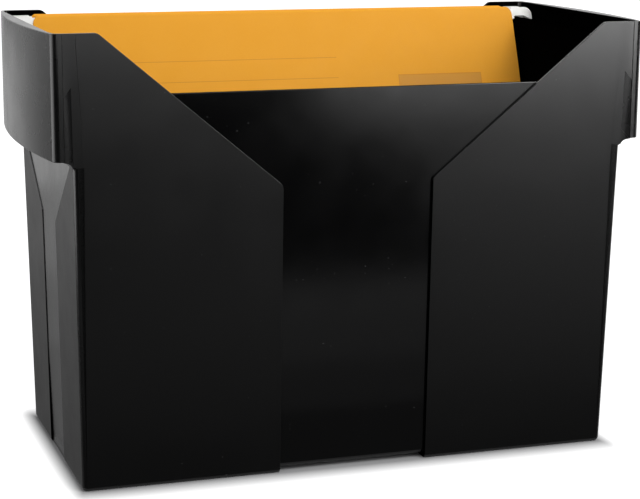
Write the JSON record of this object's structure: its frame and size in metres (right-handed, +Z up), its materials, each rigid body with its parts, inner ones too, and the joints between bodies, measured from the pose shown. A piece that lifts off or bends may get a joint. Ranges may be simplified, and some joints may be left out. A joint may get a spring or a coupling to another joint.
{
  "type": "portable file box",
  "caption": "Open-topped portable box for hanging files, with a V-cut front and back, rails along the side walls, bulging carrying handles at both ends and a card hanging file.",
  "frame": {"origin": "on the table, under the middle of the box", "axes": "+X to the right along the box's width, +Y to the back, +Z up; the front faces -Y"},
  "size_m": [0.365, 0.1714, 0.26],
  "materials": {
    "matt_black_plastic": "fine spark-eroded grain, half matt",
    "gloss_black_plastic": "polished",
    "orange_card": "uncoated dyed card with short fibres",
    "white_plastic": "satin moulded",
    "bar_steel": "bright rolled strip"
  },
  "bodies": {
    "box": {"left_end_shell": "matt_black_plastic", "right_end_shell": "matt_black_plastic", "centre_cradle": "gloss_black_plastic"},
    "file_back": {"back_leaf": "orange_card", "back_bar": "bar_steel", "back_left_hook": "white_plastic", "back_right_hook": "white_plastic"},
    "file_front": {"front_leaf": "orange_card", "front_bar": "bar_steel", "front_left_hook": "white_plastic", "front_right_hook": "white_plastic"}
  },
  "joints": [
    {"name": "file_lift", "type": "slide", "parent": "box", "child": "file_back", "axis": [0, 0, 1], "range_m": [0, 0.255]},
    {"name": "front_bar_slide", "type": "slide", "parent": "file_back", "child": "file_front", "axis": [0, -1, 0], "range_m": [0, 0.1]}
  ]
}
